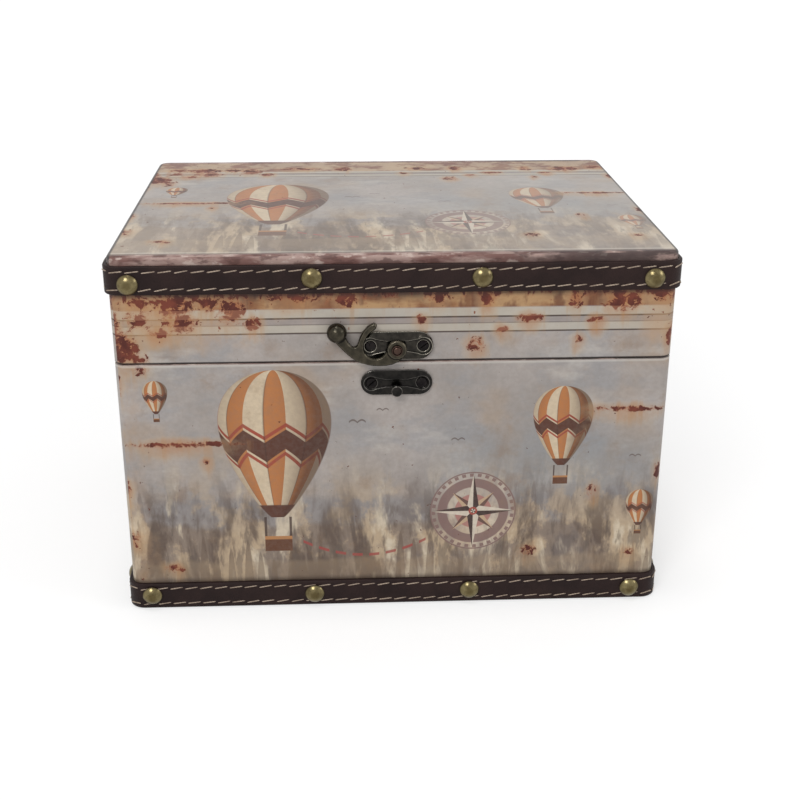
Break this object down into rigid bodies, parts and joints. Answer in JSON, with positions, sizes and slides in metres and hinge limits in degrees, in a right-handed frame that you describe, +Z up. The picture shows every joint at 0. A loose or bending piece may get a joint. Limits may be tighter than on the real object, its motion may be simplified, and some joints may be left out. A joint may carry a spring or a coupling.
{
  "type": "decorative box",
  "caption": "Keepsake box in a printed wrap, with stitched and nailed straps round its lid and base, hinges on the back, and a swing hook that drops over a stud to hold the lid shut.",
  "frame": {"origin": "centre of the underside, where the box stands on Z = 0", "axes": "+X along the front to the right, +Y from the front with the latch to the back with the hinges, +Z up"},
  "size_m": [0.2698, 0.2153, 0.18],
  "materials": {
    "printed_wrap": "satin printed leatherette with a weathered painted-board print",
    "strap_leather": "satin dark brown leatherette, with two rows of pale stitches",
    "antique_brass": "aged brass",
    "dark_bronze": "dark bronze, darker in its recesses",
    "fibreboard": "raw fibreboard",
    "lining_felt": "dark brown felt",
    "foot_felt": "near-black felt"
  },
  "bodies": {
    "base": {"base_left_wall": "fibreboard", "base_right_wall": "fibreboard", "base_front_wall": "fibreboard", "base_back_wall": "fibreboard", "base_floor_board": "fibreboard", "base_foot_sheet": "foot_felt", "base_cover": "printed_wrap", "base_lining": "lining_felt", "base_strap": "strap_leather", "base_front_nail_1": "antique_brass", "base_front_nail_2": "antique_brass", "base_front_nail_3": "antique_brass", "base_front_nail_4": "antique_brass", "base_left_nail_1": "antique_brass", "base_left_nail_2": "antique_brass", "base_left_nail_3": "antique_brass", "base_right_nail_1": "antique_brass", "base_right_nail_2": "antique_brass", "base_right_nail_3": "antique_brass", "catch_plate": "dark_bronze", "catch_screw_left": "dark_bronze", "catch_screw_right": "dark_bronze", "base_hinge_leaf_left": "dark_bronze", "base_hinge_leaf_right": "dark_bronze", "base_hinge_screw_left_1": "dark_bronze", "base_hinge_screw_left_2": "dark_bronze", "base_hinge_screw_right_1": "dark_bronze", "base_hinge_screw_right_2": "dark_bronze", "hinge_pin_left": "dark_bronze", "hinge_pin_right": "dark_bronze"},
    "lid": {"lid_left_wall": "fibreboard", "lid_right_wall": "fibreboard", "lid_front_wall": "fibreboard", "lid_back_wall": "fibreboard", "lid_top_board": "fibreboard", "lid_cover": "printed_wrap", "lid_lining": "lining_felt", "lid_strap": "strap_leather", "lid_front_nail_1": "antique_brass", "lid_front_nail_2": "antique_brass", "lid_front_nail_3": "antique_brass", "lid_front_nail_4": "antique_brass", "lid_left_nail_1": "antique_brass", "lid_left_nail_2": "antique_brass", "lid_left_nail_3": "antique_brass", "lid_right_nail_1": "antique_brass", "lid_right_nail_2": "antique_brass", "lid_right_nail_3": "antique_brass", "latch_plate": "dark_bronze", "latch_rivet": "dark_bronze", "latch_screw_left": "dark_bronze", "latch_screw_right": "dark_bronze", "lid_hinge_leaf_left": "dark_bronze", "lid_hinge_leaf_right": "dark_bronze", "lid_hinge_screw_left_1": "dark_bronze", "lid_hinge_screw_left_2": "dark_bronze", "lid_hinge_screw_right_1": "dark_bronze", "lid_hinge_screw_right_2": "dark_bronze"},
    "hook": {"latch_hook": "dark_bronze"}
  },
  "joints": [
    {"name": "lid_hinge", "type": "hinge", "parent": "base", "child": "lid", "pos_m": [0, 0.1038, 0.1286], "axis": [-1, 0, 0], "range_deg": [0, 175]},
    {"name": "hook_swing", "type": "hinge", "parent": "lid", "child": "hook", "pos_m": [0.0005, -0.1051, 0.1358], "axis": [0, 1, 0], "range_deg": [-60, 260]}
  ]
}
